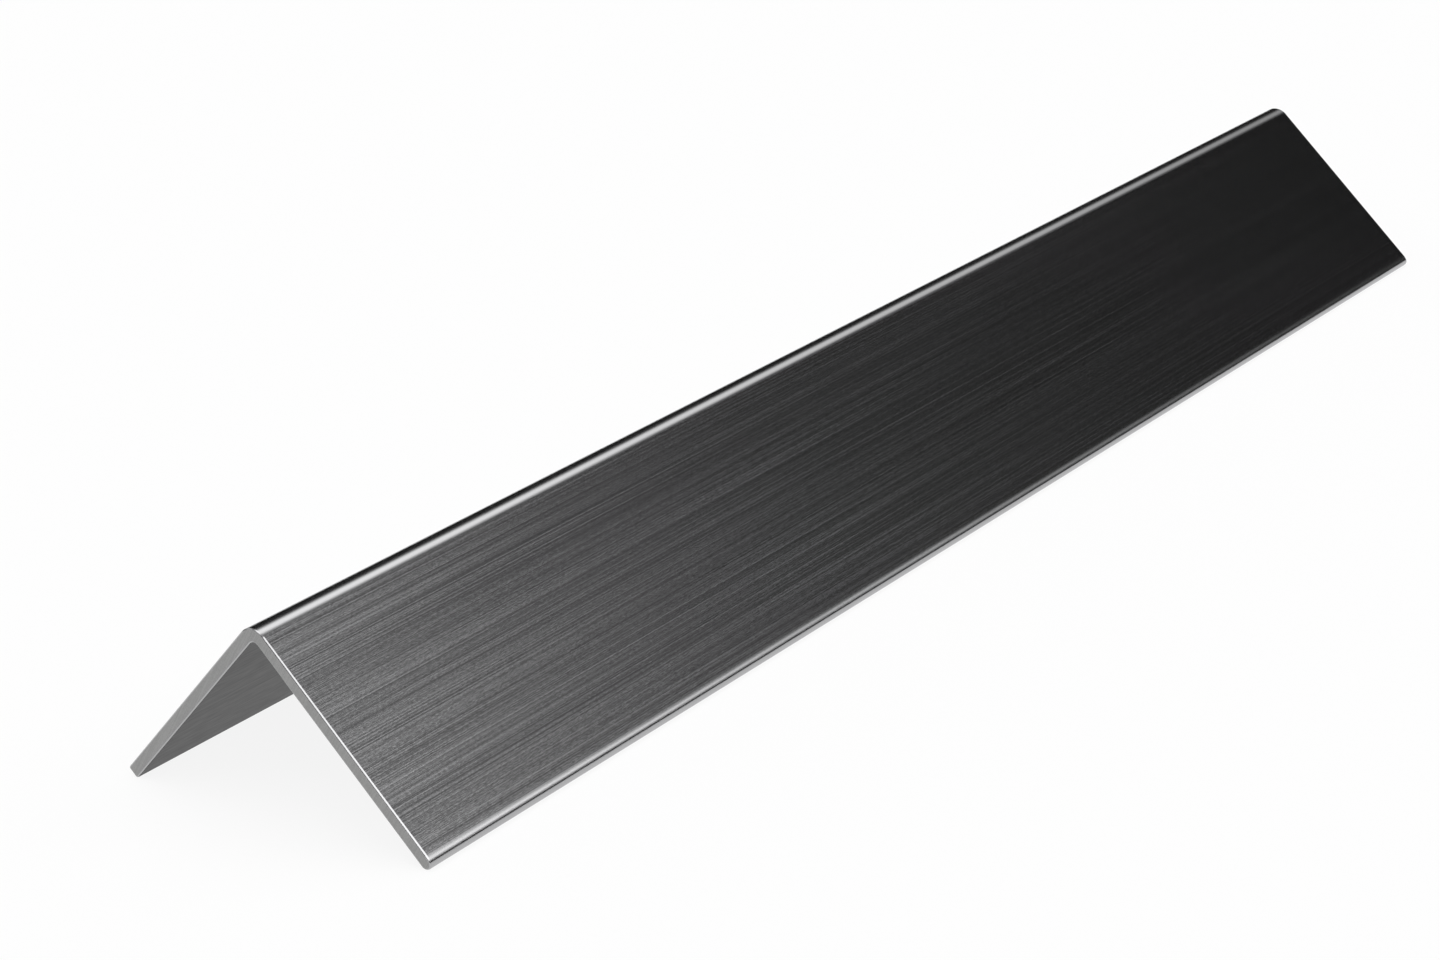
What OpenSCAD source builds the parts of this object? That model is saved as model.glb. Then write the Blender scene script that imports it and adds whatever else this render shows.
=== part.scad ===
// Corner trim: a strip of brushed sheet steel, bent once to an angle.
// It stands on its two free edges with the bend on top, like a tent.
// Millimetres, +Z up, length along X, face leg on the -Y side.

/* [Stock] */
// Length of the cut piece
stock_l = 210; // [60:5:600]
// Thickness of the sheet
sheet_t = 1.5; // [1:0.1:3]

/* [Legs] */
// Width of the face leg, from the sharp outer corner to its free edge
face_w = 30; // [15:1:60]
// Width of the return leg, from the sharp outer corner to its free edge
return_w = 30; // [15:1:60]
// Angle between the two legs
leg_angle = 90; // [75:1:120]

/* [Bend] */
// Inside radius of the bend
bend_r = 0.7; // [0.4:0.1:3]

/* [Edges] */
// Radius on both corners of the face leg's free edge, which is dressed round
face_edge_r = 0.7; // [0.2:0.05:1.4]
// Radius on both corners of the return leg's free edge, which is only eased
return_edge_r = 0.25; // [0.2:0.05:1.4]
// Width of the small bevel on the arrises of the two cut ends
cut_bevel = 0.2; // [0.05:0.05:0.4]

/* [Hidden] */

$fn = 96;
STEEL = [0.33, 0.33, 0.34];

// The outer faces of the legs run tangent into the outside of the bend.
bend_outer_r = bend_r + sheet_t;
bend_turn = 180 - leg_angle;
setback = bend_outer_r * tan(bend_turn / 2);

// What is left of each leg outside the bend.
face_flat = face_w - setback;
return_flat = return_w - setback;

// A rounded edge keeps this much flat in the middle, so its wall limits it.
edge_flat = 0.1;
edge_r_limit = (sheet_t - edge_flat) / 2;
face_r = min(face_edge_r, edge_r_limit);
return_r = min(return_edge_r, edge_r_limit);

// How far a cutting form runs past the faces that it doesn't shape.
overrun = 1;

// The bend's crest points straight up at this turn of the section.
upright = 90 - bend_turn / 2;

function turned(v, a) = [v.x * cos(a) - v.y * sin(a), v.x * sin(a) + v.y * cos(a)];
function flipped(v) = [-v.x, v.y];

// Centres of the edge radii, in the section with its bend axis at [0, 0] and its crest up.
function foot(flat, r) = turned([bend_r + r, r - flat], upright);
function shoulder(flat, r) = turned([bend_outer_r - r, r - flat], upright);

// The lean that brings the lowest corner of both legs down to one level.
face_foot = flipped(foot(face_flat, face_r));
return_foot = foot(return_flat, return_r);
foot_span = return_foot - face_foot;
lean = asin((return_r - face_r) / norm(foot_span)) - atan2(foot_span.y, foot_span.x);
bend_axis_z = return_r - turned(return_foot, lean).y;

// Half way between the outermost points of the two legs.
face_reach = turned(flipped(shoulder(face_flat, face_r)), lean).x - face_r;
return_reach = turned(shoulder(return_flat, return_r), lean).x + return_r;
middle_y = (face_reach + return_reach) / 2;

// A long bar's outline, w wide along x and l long along y, with a bevel on each corner.
// The bevels run on outwards by over, and the long sides stand out with them.
function bevelled_bar(w, l, over = 0) = let (b = cut_bevel) [
    [-over, b + over], [b, 0], [w - b, 0], [w + over, b + over],
    [w + over, l - b - over], [w - b, l], [b, l], [-over, l - b - over]
];

// Section of one leg: the bend at y = 0, the free edge at y = -flat with both corners rounded.
module leg_section(flat, r) {
    translate([0, r - flat]) square([sheet_t, flat - r]);
    translate([r, -flat]) square([sheet_t - 2 * r, r]);
    for (x = [r, sheet_t - r])
        translate([x, r - flat]) circle(r);
}

// One leg, standing on its end, with the arrises of both ends bevelled.
module leg(flat, r) {
    translate([bend_r, 0, 0])
        intersection() {
            translate([0, 0, -overrun]) linear_extrude(stock_l + 2 * overrun) leg_section(flat, r);
            // Bevels along the two wide faces
            translate([0, overrun, 0]) rotate([90, 0, 0])
                linear_extrude(flat + 2 * overrun) polygon(bevelled_bar(sheet_t, stock_l, overrun));
            // Bevels across the free edge
            translate([-overrun, -flat, 0]) rotate([90, 0, 90])
                linear_extrude(sheet_t + 2 * overrun)
                    polygon(bevelled_bar(flat + overrun, stock_l, overrun));
        }
}

// The strip turned round the bend axis, between the two legs.
module bend() {
    rotate_extrude(angle = bend_turn)
        translate([bend_r, 0]) polygon(bevelled_bar(sheet_t, stock_l));
}

// The bent strip on its end: the return leg, the bend, then the face leg.
module bent_strip() {
    leg(return_flat, return_r);
    bend();
    rotate([0, 0, bend_turn]) mirror([0, 1, 0]) leg(face_flat, face_r);
}

module corner_trim() {
    color(STEEL)
        translate([-stock_l / 2, -middle_y, bend_axis_z])
            rotate([90, 0, 90])
                rotate([0, 0, upright + lean])
                    bent_strip();
}

corner_trim();
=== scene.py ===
"""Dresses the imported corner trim: its bent strip with brushed, mill and cut finishes, and a stage."""

import math

import bpy
from mathutils import Euler, Matrix, Vector


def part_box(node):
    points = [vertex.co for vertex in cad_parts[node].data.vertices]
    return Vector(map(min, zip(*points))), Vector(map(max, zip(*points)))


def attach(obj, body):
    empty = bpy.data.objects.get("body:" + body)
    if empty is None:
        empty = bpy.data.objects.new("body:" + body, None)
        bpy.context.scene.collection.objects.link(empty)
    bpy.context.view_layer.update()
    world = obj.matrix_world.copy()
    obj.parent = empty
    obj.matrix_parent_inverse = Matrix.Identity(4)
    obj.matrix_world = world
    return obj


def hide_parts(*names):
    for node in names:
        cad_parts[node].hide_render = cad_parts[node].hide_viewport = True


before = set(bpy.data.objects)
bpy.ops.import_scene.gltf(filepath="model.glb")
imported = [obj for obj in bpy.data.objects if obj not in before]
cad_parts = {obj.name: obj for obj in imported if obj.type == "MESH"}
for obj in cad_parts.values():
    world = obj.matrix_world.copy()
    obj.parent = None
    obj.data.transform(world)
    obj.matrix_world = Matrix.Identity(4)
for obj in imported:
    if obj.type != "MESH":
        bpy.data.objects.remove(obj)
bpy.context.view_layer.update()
NODE = "corner_trim"
TRIM_LOW, TRIM_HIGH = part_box(NODE)

bl_info = {
    "name": "Corner Trim Dresser",
    "version": (1, 0, 0),
    "blender": (4, 5, 0),
    "location": "3D View > Sidebar > Corner Trim",
    "description": "Makes the brushed steel corner trim and the stage it stands on",
    "category": "Object",
}

MM = 0.001


# Sizes and colours a user would change

class TrimSizes(bpy.types.PropertyGroup):
    """Sizes of the bent strip."""

    length: bpy.props.FloatProperty(
        name="Length", description="Length of the cut piece",
        default=TRIM_HIGH.x - TRIM_LOW.x, min=0.02, unit="LENGTH", precision=5)
    sheet_thickness: bpy.props.FloatProperty(
        name="Sheet Thickness", description="Thickness of the sheet",
        default=1.5 * MM, min=0.5 * MM, unit="LENGTH", precision=5)
    face_width: bpy.props.FloatProperty(
        name="Face Width", description="Face leg, from the sharp outer corner to its free edge",
        default=30 * MM, min=5 * MM, unit="LENGTH", precision=5)
    return_width: bpy.props.FloatProperty(
        name="Return Width", description="Return leg, from the sharp outer corner to its free edge",
        default=30 * MM, min=5 * MM, unit="LENGTH", precision=5)
    leg_angle: bpy.props.FloatProperty(
        name="Leg Angle", description="Angle between the two legs",
        default=math.radians(90), min=math.radians(60), max=math.radians(130), subtype="ANGLE")
    bend_radius: bpy.props.FloatProperty(
        name="Bend Radius", description="Inside radius of the bend",
        default=0.7 * MM, min=0.1 * MM, unit="LENGTH", precision=5)
    face_edge_radius: bpy.props.FloatProperty(
        name="Face Edge Radius", description="Radius on both corners of the face leg's free edge",
        default=0.7 * MM, min=0.05 * MM, unit="LENGTH", precision=5)
    return_edge_radius: bpy.props.FloatProperty(
        name="Return Edge Radius", description="Radius on both corners of the return leg's free edge",
        default=0.25 * MM, min=0.05 * MM, unit="LENGTH", precision=5)
    shoulder_radius: bpy.props.FloatProperty(
        name="Shoulder Radius", description="Radius that rolls the face over towards its free edge",
        default=2.6 * MM, min=0.5 * MM, unit="LENGTH", precision=5)
    shoulder_angle: bpy.props.FloatProperty(
        name="Shoulder Angle", description="How far the face is rolled over before the edge radius begins",
        default=math.radians(15), min=math.radians(2), max=math.radians(40), subtype="ANGLE")
    arris_width: bpy.props.FloatProperty(
        name="Arris Width", description="Width that is dressed off the arrises of the cut ends",
        default=0.2 * MM, min=0.02 * MM, unit="LENGTH", precision=5)
    arc_steps: bpy.props.IntProperty(
        name="Arc Steps", description="Facets round each radius", default=14, min=4, max=48)


class TrimFinish(bpy.types.PropertyGroup):
    """Colours and grain of the steel."""

    brushed_colour: bpy.props.FloatVectorProperty(
        name="Brushed Steel", description="Reflected colour of the brushed faces",
        subtype="COLOR", size=3, default=(0.20, 0.20, 0.203), min=0, max=1)
    dressed_colour: bpy.props.FloatVectorProperty(
        name="Dressed Steel", description="Reflected colour of the smooth bend and the dressed edges",
        subtype="COLOR", size=3, default=(0.42, 0.42, 0.425), min=0, max=1)
    # The inside faces are coloured near black: painted shade of the hollow under the bend, over their dull
    # mill finish.
    mill_and_shade_colour: bpy.props.FloatVectorProperty(
        name="Mill Finish And Shade", description="Reflected colour of the inside faces, left as rolled",
        subtype="COLOR", size=3, default=(0.035, 0.035, 0.035), min=0, max=1)
    cut_colour: bpy.props.FloatVectorProperty(
        name="Cut Steel", description="Reflected colour of the cut ends",
        subtype="COLOR", size=3, default=(0.30, 0.30, 0.298), min=0, max=1)
    line_width: bpy.props.FloatProperty(
        name="Line Width", description="Width of the brush lines",
        default=0.07 * MM, min=0.01 * MM, unit="LENGTH", precision=6)
    line_length: bpy.props.FloatProperty(
        name="Line Length", description="Length of the short brush lines. The long ones are a multiple",
        default=4 * MM, min=0.5 * MM, unit="LENGTH", precision=5)


class StageSettings(bpy.types.PropertyGroup):
    """Floor, light and camera."""

    floor_colour: bpy.props.FloatVectorProperty(
        name="Floor", description="Colour of the floor",
        subtype="COLOR", size=3, default=(0.82, 0.82, 0.82), min=0, max=1)
    floor_white: bpy.props.FloatProperty(
        name="Floor White", description="Share of plain white in the floor, which softens the shadow",
        default=0.88, min=0, max=1, subtype="FACTOR")
    studio_glow: bpy.props.FloatProperty(
        name="Studio Glow", description="Light from the studio between its soft bands",
        default=0.01, min=0)
    camera_place: bpy.props.FloatVectorProperty(
        name="Camera Place", description="Where the camera stands",
        subtype="TRANSLATION", size=3, default=(-0.30151, -0.21704, 0.14474))
    camera_aim: bpy.props.FloatVectorProperty(
        name="Camera Aim", description="Point on the middle of the picture",
        subtype="TRANSLATION", size=3, default=(-0.03001, 0.0, 0.01047))
    camera_roll: bpy.props.FloatProperty(
        name="Camera Roll", description="Turn of the camera about its line of sight",
        subtype="ANGLE", default=math.radians(-4.17))
    lens: bpy.props.FloatProperty(
        name="Lens", description="Focal length in millimetres on a 36 mm wide film", default=80.475)


# Where the strip stands: the lean that brings the lowest corners of both legs to one level

def settle(sizes):
    """The lean of the section, and the place (y, z) of its sharp outer corner, standing on the floor."""
    t, half = sizes.sheet_thickness, sizes.leg_angle / 2
    bend_outer = sizes.bend_radius + t
    bend_axis = Vector((0, -bend_outer / math.sin(half)))
    legs = []
    for side, width, r in ((-1, sizes.face_width, sizes.face_edge_radius),
                           (1, sizes.return_width, sizes.return_edge_radius)):
        r = min(r, (t - 0.1 * MM) / 2)
        along = Vector((side * math.sin(half), -math.cos(half)))
        inward = Vector((-side * math.cos(half), -math.sin(half)))
        foot = along * (width - r) + inward * (t - r)
        shoulder = along * (width - r) + inward * r
        legs.append((foot, shoulder, r))
    (face_foot, face_shoulder, face_r), (return_foot, return_shoulder, return_r) = legs
    span = return_foot - face_foot
    lean = math.asin((return_r - face_r) / span.length) - math.atan2(span.y, span.x)
    turn = Matrix.Rotation(lean, 2)
    face_reach = (turn @ face_shoulder).x - face_r
    return_reach = (turn @ return_shoulder).x + return_r
    corner_y = -(face_reach + return_reach) / 2
    corner_z = return_r - (turn @ return_foot).y
    return lean, corner_y, corner_z, bend_axis


def in_row_frame(sizes, point):
    """A point of the upright section, given from its sharp outer corner, as (y, z) in the row frame."""
    lean, corner_y, corner_z, _ = settle(sizes)
    return Matrix.Rotation(lean, 2) @ Vector(point) + Vector((corner_y, corner_z))


# Small helpers for building node trees

def add(tree, kind, inputs=None, **settings):
    """A new node with its settings and its unlinked inputs, or links where an input is a socket."""
    made = tree.nodes.new(kind)
    for key, value in settings.items():
        setattr(made, key, value)
    for key, value in (inputs or {}).items():
        if isinstance(value, bpy.types.NodeSocket):
            tree.links.new(value, made.inputs[key])
        else:
            made.inputs[key].default_value = value
    return made


def maths(tree, operation, *values):
    """The result of a Math node."""
    return add(tree, "ShaderNodeMath", dict(enumerate(values)), operation=operation).outputs[0]


def vectors(tree, operation, *values):
    """The result of a Vector Math node."""
    made = add(tree, "ShaderNodeVectorMath", dict(enumerate(values)), operation=operation)
    return made.outputs[0]


def scaled(tree, vector, by):
    made = add(tree, "ShaderNodeVectorMath", {"Vector": vector, "Scale": by}, operation="SCALE")
    return made.outputs[0]


def socket(tree, name, kind, value=None, low=None, high=None, way="INPUT", about=""):
    made = tree.interface.new_socket(name=name, in_out=way, socket_type=kind, description=about)
    if value is not None:
        made.default_value = value
    if low is not None:
        made.min_value = low
    if high is not None:
        made.max_value = high
    return made


# The bent strip as a rule: a section with rounded corners, swept along its length

SECTION_INPUTS = [
    ("Length", "length"), ("Sheet Thickness", "sheet_thickness"), ("Face Width", "face_width"),
    ("Return Width", "return_width"), ("Leg Angle", "leg_angle"), ("Bend Radius", "bend_radius"),
    ("Face Edge Radius", "face_edge_radius"), ("Return Edge Radius", "return_edge_radius"),
    ("Shoulder Radius", "shoulder_radius"), ("Shoulder Angle", "shoulder_angle"),
]


def strip_tree():
    tree = bpy.data.node_groups.new("Bent Strip", "GeometryNodeTree")
    for name, _ in SECTION_INPUTS:
        socket(tree, name, "NodeSocketFloat")
    socket(tree, "Arc Steps", "NodeSocketInt", 12)
    socket(tree, "Lean", "NodeSocketFloat")
    socket(tree, "Corner Place", "NodeSocketVector")
    for name in ("Brushed Finish", "Mill Finish And Shade", "Cut Finish"):
        socket(tree, name, "NodeSocketMaterial")
    socket(tree, "Geometry", "NodeSocketGeometry", way="OUTPUT")
    given = tree.nodes.new("NodeGroupInput").outputs
    t = given["Sheet Thickness"]

    # Directions of the two legs, and inwards from their outer faces
    half = maths(tree, "DIVIDE", given["Leg Angle"], 2.0)
    s, c = maths(tree, "SINE", half), maths(tree, "COSINE", half)
    minus_s, minus_c = maths(tree, "MULTIPLY", s, -1.0), maths(tree, "MULTIPLY", c, -1.0)
    directions = []
    for along_x, inward_x in ((minus_s, c), (s, minus_c)):
        along = add(tree, "ShaderNodeCombineXYZ", {"X": along_x, "Y": minus_c}).outputs[0]
        inward = add(tree, "ShaderNodeCombineXYZ", {"X": inward_x, "Y": minus_s}).outputs[0]
        directions.append((along, inward))

    # The tips of both legs, on the outer and on the inner face
    tips = []
    for (along, inward), width in zip(directions, ("Face Width", "Return Width")):
        outer = scaled(tree, along, given[width])
        tips.append((outer, vectors(tree, "ADD", outer, scaled(tree, inward, t))))
    deep = maths(tree, "DIVIDE", t, minus_s)
    inner_corner = add(tree, "ShaderNodeCombineXYZ", {"Y": deep}).outputs[0]
    (face_out, face_in), (return_out, return_in) = tips
    bend_outer = maths(tree, "ADD", given["Bend Radius"], t)
    face_r, return_r = given["Face Edge Radius"], given["Return Edge Radius"]

    # The face's shoulder stands back from the tip by the room that both arcs take on the slope
    roll, roll_r = given["Shoulder Angle"], given["Shoulder Radius"]
    half_roll = maths(tree, "DIVIDE", roll, 2.0)
    rest_of_turn = maths(tree, "SUBTRACT", math.pi / 4, half_roll)
    slope = maths(tree, "ADD", maths(tree, "MULTIPLY", roll_r, maths(tree, "TANGENT", half_roll)),
                  maths(tree, "MULTIPLY", face_r, maths(tree, "TANGENT", rest_of_turn)))
    slope = maths(tree, "ADD", slope, 0.01 * MM)
    setback = maths(tree, "MULTIPLY", slope, maths(tree, "COSINE", roll))
    drop = maths(tree, "MULTIPLY", slope, maths(tree, "SINE", roll))
    face_along, face_inward = directions[0]
    shoulder = vectors(tree, "SUBTRACT", face_out, scaled(tree, face_along, setback))
    rolled_tip = vectors(tree, "ADD", face_out, scaled(tree, face_inward, drop))
    corners = [(0.0, 0.0, 0.0), shoulder, rolled_tip, face_in, inner_corner, return_in, return_out]
    radii = [bend_outer, roll_r, face_r, face_r, given["Bend Radius"], return_r, return_r]
    inside = [0.0, 0.0, 0.0, 0.0, 1.0, 0.0, 0.0]

    index = tree.nodes.new("GeometryNodeInputIndex").outputs[0]

    def by_corner(kind, values):
        switch = add(tree, "GeometryNodeIndexSwitch", data_type=kind)
        while len(switch.index_switch_items) < len(values):
            switch.index_switch_items.new()
        tree.links.new(index, switch.inputs["Index"])
        for k, value in enumerate(values):
            if isinstance(value, bpy.types.NodeSocket):
                tree.links.new(value, switch.inputs[k + 1])
            else:
                switch.inputs[k + 1].default_value = value
        return switch.outputs[0]

    line = add(tree, "GeometryNodeMeshLine", {"Count": len(corners)}).outputs[0]
    placed = add(tree, "GeometryNodeSetPosition",
                 {"Geometry": line, "Position": by_corner("VECTOR", corners)}).outputs[0]
    outline = add(tree, "GeometryNodeMeshToCurve", {"Mesh": placed}).outputs[0]
    outline = add(tree, "GeometryNodeSetSplineCyclic", {"Geometry": outline, "Cyclic": True}).outputs[0]
    inside_mark = add(tree, "GeometryNodeCaptureAttribute", {"Geometry": outline}, domain="POINT")
    inside_mark.capture_items.new("FLOAT", "Inside")
    tree.links.new(by_corner("FLOAT", inside), inside_mark.inputs[1])
    rounded = add(tree, "GeometryNodeFilletCurve",
                  {"Curve": inside_mark.outputs[0], "Radius": by_corner("FLOAT", radii),
                   "Count": given["Arc Steps"], "Limit Radius": True}, mode="POLY").outputs[0]
    round_mark = add(tree, "GeometryNodeCaptureAttribute", {"Geometry": rounded}, domain="POINT")
    round_mark.capture_items.new("FLOAT", "Round")
    tree.links.new(tree.nodes.new("GeometryNodeSplineParameter").outputs["Length"], round_mark.inputs[1])
    lean = add(tree, "ShaderNodeCombineXYZ", {"Z": given["Lean"]}).outputs[0]
    section = add(tree, "GeometryNodeTransform",
                  {"Geometry": round_mark.outputs[0], "Translation": given["Corner Place"],
                   "Rotation": lean}).outputs[0]

    # Sweep it along +Z, then lay the length along +X
    end = maths(tree, "DIVIDE", given["Length"], 2.0)
    path = add(tree, "GeometryNodeCurvePrimitiveLine",
               {"Start": add(tree, "ShaderNodeCombineXYZ",
                             {"Z": maths(tree, "MULTIPLY", end, -1.0)}).outputs[0],
                "End": add(tree, "ShaderNodeCombineXYZ", {"Z": end}).outputs[0]}).outputs[0]
    swept = add(tree, "GeometryNodeCurveToMesh",
                {"Curve": path, "Profile Curve": section, "Fill Caps": True}).outputs[0]
    laid = add(tree, "GeometryNodeTransform",
               {"Geometry": swept, "Rotation": Euler((math.pi / 2, 0, math.pi / 2))}).outputs[0]
    smooth = add(tree, "GeometryNodeSetShadeSmooth", {"Geometry": laid, "Shade Smooth": True}).outputs[0]

    # A flat map with U round the section and V along the length: highlights draw out along U
    position = tree.nodes.new("GeometryNodeInputPosition").outputs[0]
    along_x = add(tree, "ShaderNodeSeparateXYZ", {0: position}).outputs["X"]
    flat = add(tree, "ShaderNodeCombineXYZ", {"X": round_mark.outputs[1], "Y": along_x}).outputs[0]
    mapped = add(tree, "GeometryNodeStoreNamedAttribute",
                 {"Geometry": smooth, "Name": "Brushing", "Value": flat},
                 data_type="FLOAT2", domain="CORNER").outputs[0]

    # Finishes: brushed outside, mill finish inside darkened as painted shade, and the two cut ends
    real = add(tree, "GeometryNodeRealizeInstances", {"Geometry": mapped}).outputs[0]
    is_inside = add(tree, "FunctionNodeCompare",
                    {"A": inside_mark.outputs[1], "B": 0.3}, operation="GREATER_THAN").outputs[0]
    normal_x = add(tree, "ShaderNodeSeparateXYZ",
                   {0: tree.nodes.new("GeometryNodeInputNormal").outputs[0]}).outputs["X"]
    at_end = add(tree, "FunctionNodeCompare",
                 {"A": maths(tree, "ABSOLUTE", normal_x), "B": 0.9}, operation="GREATER_THAN").outputs[0]
    shown = add(tree, "GeometryNodeSetMaterial",
                {"Geometry": real, "Material": given["Brushed Finish"]}).outputs[0]
    shown = add(tree, "GeometryNodeSetMaterial",
                {"Geometry": shown, "Selection": is_inside, "Material": given["Mill Finish And Shade"]}).outputs[0]
    shown = add(tree, "GeometryNodeSetMaterial",
                {"Geometry": shown, "Selection": at_end, "Material": given["Cut Finish"]}).outputs[0]
    add(tree, "NodeGroupOutput", {0: shown})
    return tree


# Shader groups shared by the finishes

def shader_group(name, inputs, outputs):
    group = bpy.data.node_groups.new(name, "ShaderNodeTree")
    for label, kind, value, low, high in inputs:
        socket(group, label, kind, value, low, high)
    for label, kind in outputs:
        socket(group, label, kind, way="OUTPUT")
    return group, group.nodes.new("NodeGroupInput").outputs, group.nodes.new("NodeGroupOutput").inputs


# How far past its rare value the noise is a full score
SCORE_EDGE = 0.07


def brush_lines_group():
    """Lines along X left by a brush or a roll: long ones, shorter ones, specks, and a few deep scores."""
    group, given, out = shader_group("Brush Lines", [
        ("Vector", "NodeSocketVector", None, None, None),
        ("Line Width", "NodeSocketFloat", 0.0001, 0.00001, 0.01),
        ("Line Length", "NodeSocketFloat", 0.01, 0.0005, 1.0),
        ("Scores", "NodeSocketFloat", 0.5, 0.0, 1.0),
    ], [("Tone", "NodeSocketFloat"), ("Height", "NodeSocketFloat")])
    parts = add(group, "ShaderNodeSeparateXYZ", {0: given["Vector"]}).outputs

    def layer(width_by, length_by, shift, detail=0.0):
        """Noise drawn out along X, as a value round zero."""
        width = maths(group, "MULTIPLY", given["Line Width"], width_by)
        length = maths(group, "MULTIPLY", given["Line Length"], length_by)
        grid = add(group, "ShaderNodeCombineXYZ", {
            "X": maths(group, "ADD", maths(group, "DIVIDE", parts["X"], length), shift),
            "Y": maths(group, "DIVIDE", parts["Y"], width),
            "Z": maths(group, "DIVIDE", parts["Z"], width)}).outputs[0]
        noise = add(group, "ShaderNodeTexNoise", {
            "Vector": grid, "Scale": 1.0, "Detail": detail, "Roughness": 0.6}).outputs[0]
        return maths(group, "SUBTRACT", noise, 0.5)

    def blend(base, shares):
        """The base with a share of each layer added to it."""
        for part, share in shares:
            base = maths(group, "ADD", base, maths(group, "MULTIPLY", part, share))
        return base

    # Each layer: width and length as multiples of the given ones, a shift that sets it apart, detail
    long_lines = layer(1.0, 25.0, 3.1, 1.0)
    wide_lines = layer(2.6, 18.0, 29.5)
    short_lines = layer(1.0, 1.0, 17.7, 1.0)
    specks = layer(0.8, 0.1, 41.3)
    broad = layer(24.0, 12.0, 63.9)
    grooves = blend(0.5, [(long_lines, 1.7), (wide_lines, 0.15)])
    # Deep scores: dark where the noise is high and bright where it is low, past a rare value
    for noise, rare, strength in ((layer(1.5, 35.0, 87.2), 0.15, 1.0), (layer(0.9, 28.0, 112.6), 0.11, 0.8)):
        for sign in (-1, 1):
            score = map_range(group, noise, rare * sign, (rare + SCORE_EDGE) * sign, 0.0, -strength * sign)
            grooves = maths(group, "ADD", grooves, maths(group, "MULTIPLY", score, given["Scores"]))
    grain = blend(grooves, [(short_lines, 0.35), (specks, 1.4), (broad, 0.15)])
    group.links.new(add(group, "ShaderNodeClamp", {"Value": grain}).outputs[0], out["Tone"])
    group.links.new(grooves, out["Height"])
    return group


def dressed_group():
    """1 past a line that runs along X, measured from a point in a direction, and 0 before it."""
    group, given, out = shader_group("Dressed Part", [
        ("Vector", "NodeSocketVector", None, None, None),
        ("Point", "NodeSocketVector", None, None, None),
        ("Direction", "NodeSocketVector", None, None, None),
        ("Start", "NodeSocketFloat", 0.0, -1.0, 1.0),
        ("Full", "NodeSocketFloat", 0.001, -1.0, 1.0),
    ], [("Mask", "NodeSocketFloat")])
    offset = vectors(group, "SUBTRACT", given["Vector"], given["Point"])
    reach = add(group, "ShaderNodeVectorMath", {0: offset, 1: given["Direction"]},
                operation="DOT_PRODUCT").outputs["Value"]
    group.links.new(smooth_range(group, reach, given["Start"], given["Full"]), out["Mask"])
    return group


def new_material(name):
    material = bpy.data.materials.new(name)
    material.use_nodes = True
    tree = material.node_tree
    tree.nodes.clear()
    shader = tree.nodes.new("ShaderNodeBsdfPrincipled")
    shader.inputs["Metallic"].default_value = 1.0
    add(tree, "ShaderNodeOutputMaterial", {"Surface": shader.outputs[0]})
    return material, tree, shader.inputs


def grouped(tree, group, inputs):
    made = add(tree, "ShaderNodeGroup", node_tree=group)
    for key, value in inputs.items():
        if isinstance(value, bpy.types.NodeSocket):
            tree.links.new(value, made.inputs[key])
        else:
            made.inputs[key].default_value = value
    return made.outputs


def smooth_range(tree, value, zero_at, one_at):
    """Runs smoothly from 0 to 1 as the value goes from one place to the other."""
    return add(tree, "ShaderNodeMapRange", {"Value": value, "From Min": zero_at, "From Max": one_at},
               interpolation_type="SMOOTHSTEP").outputs[0]


def mix_colour(tree, factor, a, b):
    made = add(tree, "ShaderNodeMix", data_type="RGBA")
    for key, value in ((0, factor), (6, a), (7, b)):
        if isinstance(value, bpy.types.NodeSocket):
            tree.links.new(value, made.inputs[key])
        else:
            made.inputs[key].default_value = value
    return made.outputs[2]


def map_range(tree, value, low, high, to_low, to_high):
    return add(tree, "ShaderNodeMapRange", {
        "Value": value, "From Min": low, "From Max": high,
        "To Min": to_low, "To Max": to_high}).outputs[0]


def rgba(colour, by=1.0):
    return (*(channel * by for channel in colour), 1.0)


def arris_mask(tree, sizes, place, start, full):
    """Mask that goes from 0 to 1 between two distances from the cut ends, in arris widths."""
    along = add(tree, "ShaderNodeSeparateXYZ", {0: place}).outputs["X"]
    inset = maths(tree, "SUBTRACT", sizes.length / 2, maths(tree, "ABSOLUTE", along))
    return map_range(tree, inset, start * sizes.arris_width, full * sizes.arris_width, 0.0, 1.0)


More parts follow.
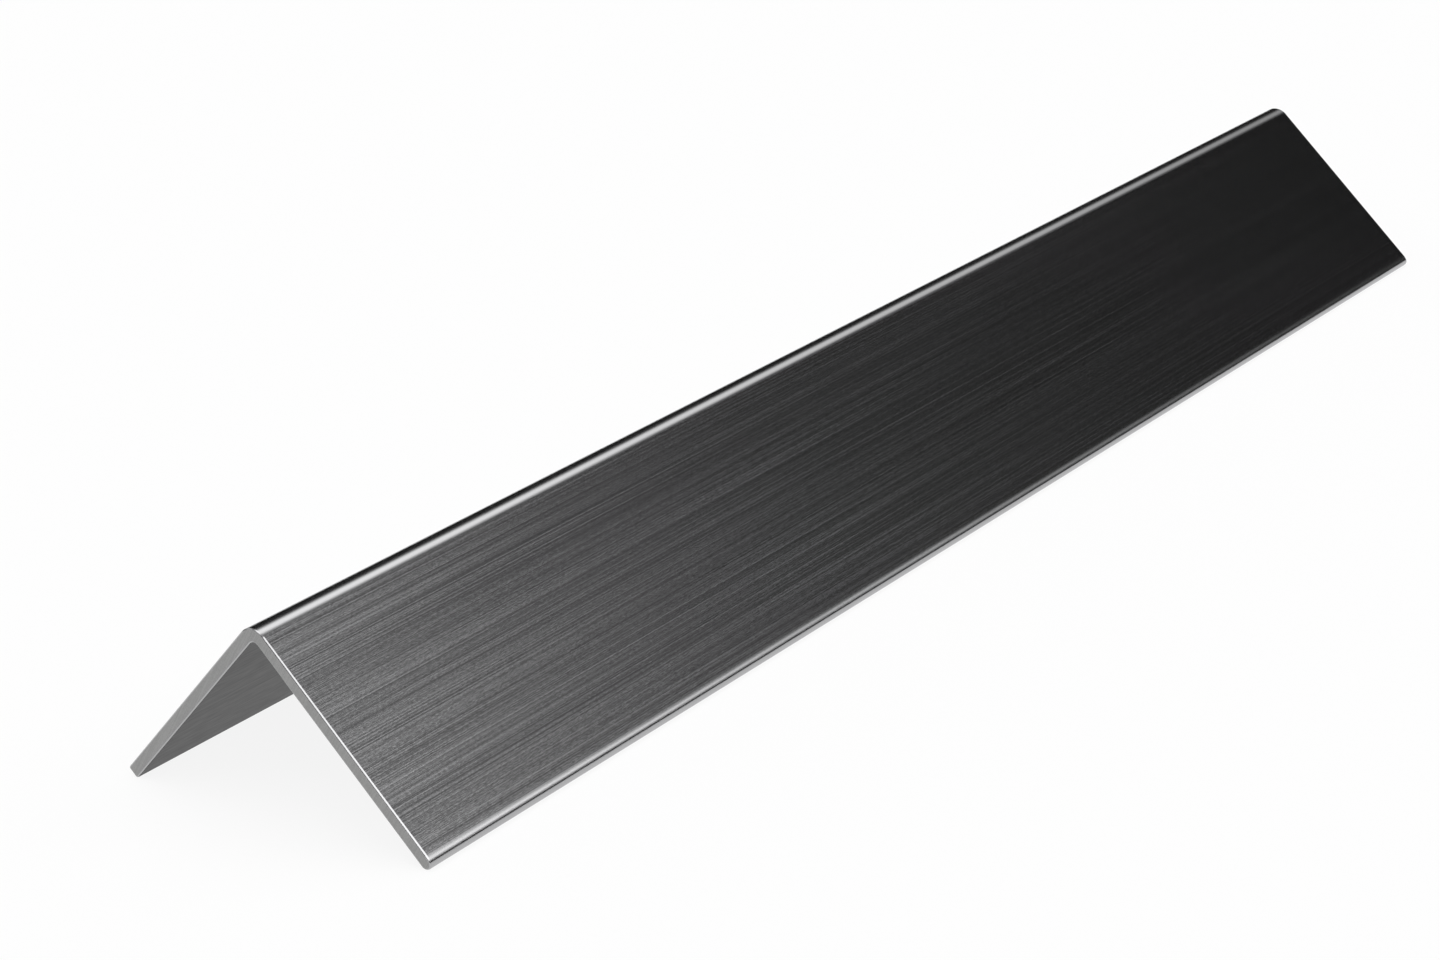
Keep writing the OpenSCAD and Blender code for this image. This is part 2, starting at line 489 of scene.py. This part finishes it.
def brushed_finish(sizes, finish, lines, dressed):
    """Brushed outer faces, with the bend and the free edges dressed smooth."""
    material, tree, shader = new_material("Brushed steel")
    place = tree.nodes.new("ShaderNodeTexCoord").outputs["Object"]
    brushed = grouped(tree, lines, {"Vector": place, "Line Width": finish.line_width,
                                    "Line Length": finish.line_length, "Scores": 0.5})
    lean, corner_y, corner_z, bend_axis = settle(sizes)
    turn = Matrix.Rotation(lean, 2)
    half = sizes.leg_angle / 2
    bend_outer = sizes.bend_radius + sizes.sheet_thickness
    # The bend is dressed from where it leaves the flats, the free edges from their shoulders
    parts = [(bend_axis, Vector((0, 1)), bend_outer * math.sin(half) + 0.01 * MM, bend_outer * 0.86)]
    for side, width, r in ((-1, sizes.face_width, sizes.face_edge_radius),
                           (1, sizes.return_width, sizes.return_edge_radius)):
        along = Vector((side * math.sin(half), -math.cos(half)))
        parts.append((along * (width - r), along, -0.7 * MM, -0.15 * MM))
    mask = 0.0
    for point, direction, begin, full in parts:
        made = grouped(tree, dressed, {
            "Vector": place, "Point": (0, *in_row_frame(sizes, point)),
            "Direction": (0, *(turn @ direction)), "Start": begin, "Full": full})["Mask"]
        mask = maths(tree, "MAXIMUM", mask, made)
    mask = maths(tree, "MAXIMUM", mask, arris_mask(tree, sizes, place, 1.15, 0.95))

    steel = mix_colour(tree, brushed["Tone"], rgba(finish.brushed_colour, 0.5),
                       rgba(finish.brushed_colour, 1.5))
    colour = mix_colour(tree, mask, steel, rgba(finish.dressed_colour))
    tree.links.new(colour, shader["Base Color"])
    grain_rough = map_range(tree, brushed["Tone"], 0.0, 1.0, 0.25, 0.20)
    rough = add(tree, "ShaderNodeMix", {"Factor": mask, "A": grain_rough, "B": 0.2}, data_type="FLOAT")
    tree.links.new(rough.outputs[0], shader["Roughness"])
    shader["Anisotropic"].default_value = 0.5
    tangent = add(tree, "ShaderNodeTangent", direction_type="UV_MAP", uv_map="Brushing")
    tree.links.new(tangent.outputs[0], shader["Tangent"])
    shallow = maths(tree, "MULTIPLY", brushed["Height"],
                    maths(tree, "SUBTRACT", 1.0, maths(tree, "MULTIPLY", mask, 0.85)))
    bump = add(tree, "ShaderNodeBump", {"Height": shallow, "Strength": 0.21, "Distance": 0.00002})
    tree.links.new(bump.outputs[0], shader["Normal"])
    return material


def mill_and_shade_finish(finish, lines):
    """Inside faces, left dull and plain as they were rolled, and coloured near black as painted shade of the
    hollow under the bend.
    """
    material, tree, shader = new_material("Mill finish steel with painted shade")
    place = tree.nodes.new("ShaderNodeTexCoord").outputs["Object"]
    rolled = grouped(tree, lines, {"Vector": place, "Line Width": 0.0004, "Line Length": 0.02,
                                   "Scores": 0.0})
    # The near-black colour here is painted shade of the hollow under the bend.
    colour = mix_colour(tree, rolled["Tone"], rgba(finish.mill_and_shade_colour, 0.9), rgba(finish.mill_and_shade_colour, 1.1))
    tree.links.new(colour, shader["Base Color"])
    tree.links.new(map_range(tree, rolled["Tone"], 0.0, 1.0, 0.42, 0.50), shader["Roughness"])
    return material


def cut_finish(sizes, finish, lines):
    """Ends cut square and linished, with a fine grain across the section."""
    material, tree, shader = new_material("Cut steel")
    place = tree.nodes.new("ShaderNodeTexCoord").outputs["Object"]
    turned = add(tree, "ShaderNodeMapping", {"Vector": place, "Rotation": (0.0, math.pi / 2, 0.6)}).outputs[0]
    marks = grouped(tree, lines, {"Vector": turned, "Line Width": 0.00008, "Line Length": 0.0012,
                                  "Scores": 0.0})
    steel = mix_colour(tree, marks["Tone"], rgba(finish.cut_colour, 0.85), rgba(finish.cut_colour, 1.15))
    mask = arris_mask(tree, sizes, place, 0.02, 0.1)
    colour = mix_colour(tree, mask, steel, rgba(finish.dressed_colour))
    tree.links.new(colour, shader["Base Color"])
    grain_rough = map_range(tree, marks["Tone"], 0.0, 1.0, 0.30, 0.42)
    rough = add(tree, "ShaderNodeMix", {"Factor": mask, "A": grain_rough, "B": 0.2}, data_type="FLOAT")
    tree.links.new(rough.outputs[0], shader["Roughness"])
    bump = add(tree, "ShaderNodeBump", {"Height": marks["Height"], "Strength": 0.2, "Distance": 0.00001})
    tree.links.new(bump.outputs[0], shader["Normal"])
    return material


# Operators

class CORNER_TRIM_OT_strip(bpy.types.Operator):
    """Make the bent steel strip in its brushed, mill and cut finishes"""

    bl_idname = "corner_trim.strip"
    bl_label = "Make Bent Strip"

    def execute(self, context):
        sizes, finish = context.scene.trim_sizes, context.scene.trim_finish
        lines, dressed = brush_lines_group(), dressed_group()
        finishes = {
            "Brushed Finish": brushed_finish(sizes, finish, lines, dressed),
            "Mill Finish And Shade": mill_and_shade_finish(finish, lines),
            "Cut Finish": cut_finish(sizes, finish, lines),
        }
        strip = bpy.data.objects.new("bent_strip", bpy.data.meshes.new("bent_strip"))
        context.scene.collection.objects.link(strip)
        rule = strip.modifiers.new("Bent Strip", "NODES")
        rule.node_group = strip_tree()
        lean, corner_y, corner_z, _ = settle(sizes)
        values = {name: getattr(sizes, key) for name, key in SECTION_INPUTS}
        values.update({"Arc Steps": sizes.arc_steps, "Lean": lean,
                       "Corner Place": (corner_y, corner_z, 0.0)}, **finishes)
        for item in rule.node_group.interface.items_tree:
            if item.in_out == "INPUT":
                rule[item.identifier] = values[item.name]
        arris = strip.modifiers.new("Dressed Arrises", "BEVEL")
        arris.limit_method = "ANGLE"
        arris.angle_limit = math.radians(60)
        arris.width = sizes.arris_width
        arris.segments = 3
        flats = strip.modifiers.new("True Flats", "WEIGHTED_NORMAL")
        flats.keep_sharp = False
        flats.weight = 100

        depsgraph = context.evaluated_depsgraph_get()
        done = bpy.data.meshes.new_from_object(strip.evaluated_get(depsgraph), depsgraph=depsgraph)
        strip.modifiers.clear()
        strip.data = done
        done.name = "bent_strip"
        low = Vector(min(v.co[k] for v in done.vertices) for k in range(3))
        high = Vector(max(v.co[k] for v in done.vertices) for k in range(3))
        if max((low - TRIM_LOW).length, (high - TRIM_HIGH).length) > 0.1 * MM:
            raise RuntimeError(f"the strip's box {low} {high} isn't the solid's {TRIM_LOW} {TRIM_HIGH}")
        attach(strip, "root")
        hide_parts(NODE)
        return {"FINISHED"}


class CORNER_TRIM_OT_stage(bpy.types.Operator):
    """Lay the pale floor and set the surroundings, the light and the camera"""

    bl_idname = "corner_trim.stage"
    bl_label = "Set Stage"

    def execute(self, context):
        stage = context.scene.trim_stage
        self.floor(context, stage)
        self.surroundings(context, stage)
        self.lamp(context)
        self.camera(context, stage)
        context.scene.view_settings.view_transform = "Standard"
        return {"FINISHED"}

    FLOOR_RADIUS = 9.0

    def floor(self, context, stage):
        """A pale floor, with a share of plain white for the camera, metal and glass."""
        bpy.ops.mesh.primitive_circle_add(vertices=96, radius=self.FLOOR_RADIUS, fill_type="NGON")
        floor = context.object
        floor.name = "floor"
        material = bpy.data.materials.new("Pale floor")
        material.use_nodes = True
        tree = material.node_tree
        shader = tree.nodes["Principled BSDF"]
        shader.inputs["Base Color"].default_value = rgba(stage.floor_colour)
        shader.inputs["Roughness"].default_value = 0.9
        shader.inputs["Specular IOR Level"].default_value = 0.0
        rays = tree.nodes.new("ShaderNodeLightPath").outputs
        seen = maths(tree, "MAXIMUM", rays["Is Camera Ray"],
                     maths(tree, "MAXIMUM", rays["Is Glossy Ray"], rays["Is Transmission Ray"]))
        white = add(tree, "ShaderNodeEmission", {"Strength": 1.0}).outputs[0]
        mixed = add(tree, "ShaderNodeMixShader", {
            0: maths(tree, "MULTIPLY", seen, stage.floor_white), 1: shader.outputs[0], 2: white})
        tree.links.new(mixed.outputs[0], tree.nodes["Material Output"].inputs["Surface"])
        floor.data.materials.append(material)

    # Soft bands of light in the studio. Each runs along X, at a turn about X from straight up
    # towards +Y. It is bright between two reaches along X and fades out beyond them.
    BANDS = [
        # turn, bright and dark half width in degrees, brightness, dark, bright, bright and dark reach
        (9, 7, 27, 1.95, -0.98, -0.62, 0.62, 0.97),
        (-56, 2, 9, 2.3, -1.0, -0.9, 0.62, 0.87),
        (-40, 6, 18, 2.6, -1.0, -0.9, 0.50, 0.73),
        (60, 8, 30, 0.8, -1.0, -0.9, 0.30, 0.50),
    ]

    def surroundings(self, context, stage):
        """A dim studio with soft bands of light, which light and show in everything alike."""
        world = bpy.data.worlds.new("Soft studio")
        world.use_nodes = True
        tree = world.node_tree
        background = tree.nodes["Background"].inputs
        background["Color"].default_value = (1, 1, 1, 1)
        direction = tree.nodes.new("ShaderNodeTexCoord").outputs["Generated"]
        parts = add(tree, "ShaderNodeSeparateXYZ", {0: direction}).outputs
        turn = maths(tree, "ARCTAN2", parts["Y"], parts["Z"])
        light = stage.studio_glow
        for middle, bright, dark, brightness, *reach in self.BANDS:
            off = maths(tree, "ABSOLUTE", maths(tree, "SUBTRACT", turn, math.radians(middle)))
            across = smooth_range(tree, off, math.radians(dark), math.radians(bright))
            glow = maths(tree, "MULTIPLY", across, brightness)
            for start, full in (reach[:2], reach[:1:-1]):
                glow = maths(tree, "MULTIPLY", glow, smooth_range(tree, parts["X"], start, full))
            light = maths(tree, "ADD", light, glow)
        tree.links.new(light, background["Strength"])
        world.cycles.sampling_method = "AUTOMATIC"
        context.scene.world = world

    LAMP_SIZE, LAMP_POWER, LAMP_HEIGHT = 1.2, 2, 2.2

    def lamp(self, context):
        """One large soft lamp overhead."""
        lamp = bpy.data.lights.new("overhead softbox", "AREA")
        lamp.size = self.LAMP_SIZE
        lamp.energy = self.LAMP_POWER
        holder = bpy.data.objects.new("overhead softbox", lamp)
        holder.location = (0, 0, self.LAMP_HEIGHT)
        holder.visible_camera = False
        context.scene.collection.objects.link(holder)

    FILM_WIDTH = 36

    def camera(self, context, stage):
        """The camera at the photograph's viewing angle."""
        camera = bpy.data.cameras.new("camera")
        camera.lens = stage.lens
        camera.sensor_width = self.FILM_WIDTH
        camera.clip_start, camera.clip_end = 0.01, 50
        holder = bpy.data.objects.new("camera", camera)
        line = Vector(stage.camera_aim) - Vector(stage.camera_place)
        level = line.to_track_quat("-Z", "Y")
        rolled = level @ Euler((0, 0, stage.camera_roll)).to_quaternion()
        holder.matrix_world = Matrix.LocRotScale(Vector(stage.camera_place), rolled, None)
        context.scene.collection.objects.link(holder)
        context.scene.camera = holder


class CORNER_TRIM_PT_panel(bpy.types.Panel):
    """Lists the trim's sizes, finishes and stage with the steps that make them"""

    bl_idname = "CORNER_TRIM_PT_panel"
    bl_label = "Corner Trim"
    bl_space_type = "VIEW_3D"
    bl_region_type = "UI"
    bl_category = "Corner Trim"

    def draw(self, context):
        for title, group, operator in (
                ("Strip", context.scene.trim_sizes, CORNER_TRIM_OT_strip.bl_idname),
                ("Finish", context.scene.trim_finish, None),
                ("Stage", context.scene.trim_stage, CORNER_TRIM_OT_stage.bl_idname)):
            box = self.layout.box()
            box.label(text=title)
            for key in group.__annotations__:
                box.prop(group, key)
            if operator:
                box.operator(operator)


CLASSES = (TrimSizes, TrimFinish, StageSettings, CORNER_TRIM_OT_strip, CORNER_TRIM_OT_stage,
           CORNER_TRIM_PT_panel)


def register():
    for cls in CLASSES:
        bpy.utils.register_class(cls)
    bpy.types.Scene.trim_sizes = bpy.props.PointerProperty(type=TrimSizes)
    bpy.types.Scene.trim_finish = bpy.props.PointerProperty(type=TrimFinish)
    bpy.types.Scene.trim_stage = bpy.props.PointerProperty(type=StageSettings)


def unregister():
    del bpy.types.Scene.trim_stage
    del bpy.types.Scene.trim_finish
    del bpy.types.Scene.trim_sizes
    for cls in reversed(CLASSES):
        bpy.utils.unregister_class(cls)


def main():
    register()
    bpy.ops.corner_trim.strip()
    bpy.ops.corner_trim.stage()


if __name__ == "__main__":
    main()
